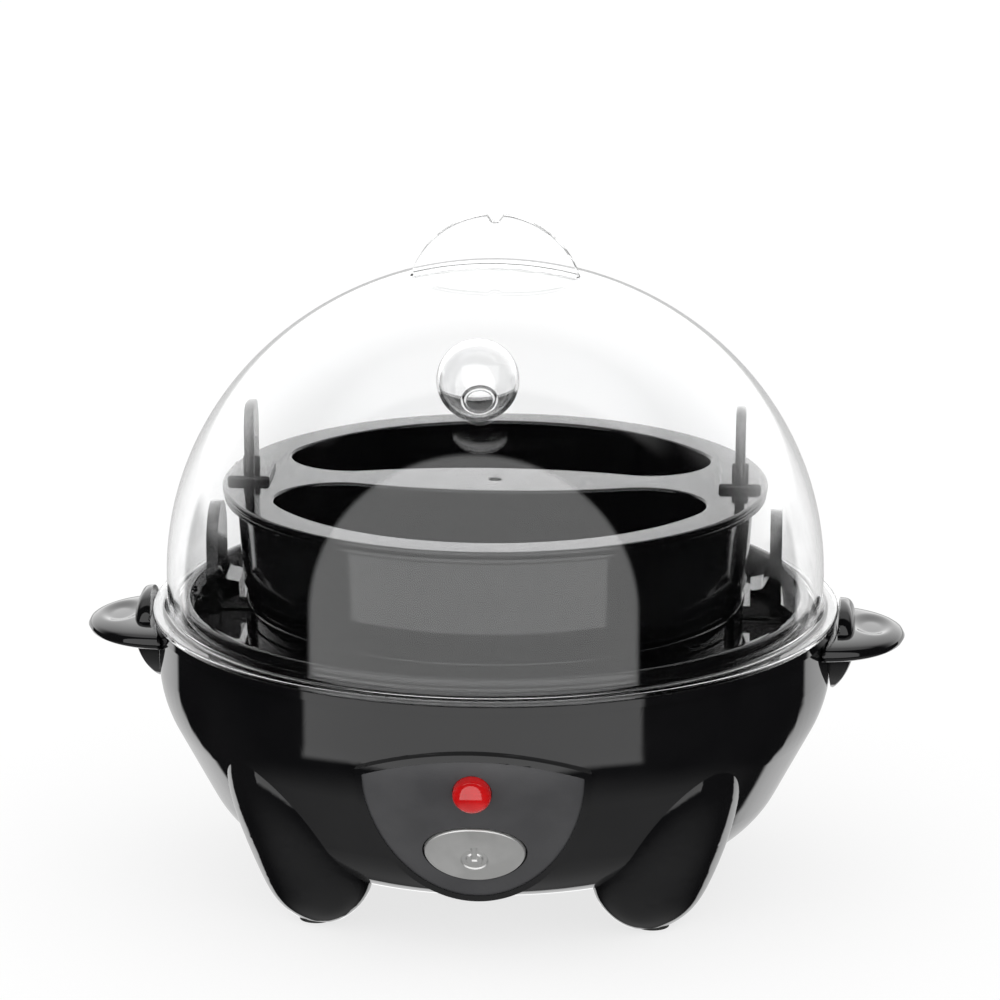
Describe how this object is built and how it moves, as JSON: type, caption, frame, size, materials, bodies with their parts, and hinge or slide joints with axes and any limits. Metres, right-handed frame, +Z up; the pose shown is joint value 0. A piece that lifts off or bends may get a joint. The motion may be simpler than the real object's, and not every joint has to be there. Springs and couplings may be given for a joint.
{
  "type": "egg cooker",
  "caption": "Round countertop egg cooker: bowl-shaped base on four legs with a heated dish, stacked egg rack, omelette and poaching trays, side handles, push button and clear dome lid.",
  "frame": {"origin": "on the bowl's axis, at the level of the feet it stands on", "axes": "+Z up along the bowl's axis, -Y towards the control panel, +X towards the right side handle"},
  "size_m": [0.1972, 0.1676, 0.1629],
  "materials": {
    "gloss_black": "piano-gloss black moulded plastic",
    "tray_black": "gloss black moulded plastic",
    "panel_grey": "satin dark grey plastic",
    "clear_lid": "clear moulded plastic, polished",
    "silver_button": "satin silver",
    "red_lens": "translucent red",
    "lamp_glass": "clear glass",
    "foot_rubber": "matt",
    "dish_steel": "brushed",
    "bright_steel": "zinc plated",
    "cast_aluminium": "as cast",
    "seal_silicone": "matt silicone",
    "inner_plastic": "natural moulded",
    "spring_steel": "bright wire"
  },
  "bodies": {
    "base": {"base_shell": "gloss_black", "rubber_feet": "foot_rubber", "bottom_cover": "gloss_black", "cover_screws": "bright_steel", "deck_ring": "gloss_black", "plate_seal": "seal_silicone", "heating_plate": "dish_steel", "plate_clamp": "bright_steel", "clamp_screws": "bright_steel", "heat_spreader": "cast_aluminium", "heating_element": "bright_steel", "thermostat": "bright_steel", "thermostat_strap": "bright_steel", "strap_screws": "bright_steel", "thermal_fuse": "inner_plastic", "fuse_clip": "bright_steel", "cord_gland": "foot_rubber", "gland_nut": "inner_plastic", "terminal_block": "inner_plastic", "terminal_screws": "bright_steel", "left_handle": "gloss_black", "right_handle": "gloss_black", "handle_screws": "bright_steel", "panel_surround": "gloss_black", "control_panel": "panel_grey", "lamp_lens": "red_lens", "neon_lamp": "lamp_glass", "switch_bracket": "inner_plastic", "bracket_screws": "bright_steel", "power_switch": "inner_plastic", "button_spring": "spring_steel"},
    "button": {"power_button": "silver_button"},
    "rack": {"egg_rack": "tray_black"},
    "omelette": {"omelette_tray": "tray_black"},
    "poaching": {"poaching_tray": "tray_black"},
    "lid": {"lid_dome": "clear_lid", "lid_fin_handle": "clear_lid", "lid_vent_ball": "clear_lid"}
  },
  "joints": [
    {"name": "rack_lift", "type": "slide", "parent": "base", "child": "rack", "axis": [0, 0, 1], "range_m": [0, 0.08]},
    {"name": "omelette_lift", "type": "slide", "parent": "rack", "child": "omelette", "axis": [0, 0, 1], "range_m": [0, 0.04]},
    {"name": "poaching_lift", "type": "slide", "parent": "omelette", "child": "poaching", "axis": [0, 0, 1], "range_m": [0, 0.03]},
    {"name": "lid_lift", "type": "slide", "parent": "poaching", "child": "lid", "axis": [0, 0, 1], "range_m": [0, 0.1]},
    {"name": "button_press", "type": "slide", "parent": "base", "child": "button", "axis": [0, 0.8829, 0.4695], "range_m": [0, 0.0015], "stiffness_N_per_m": 400, "springref_m": -0.002, "deforming": ["button_spring"]}
  ]
}
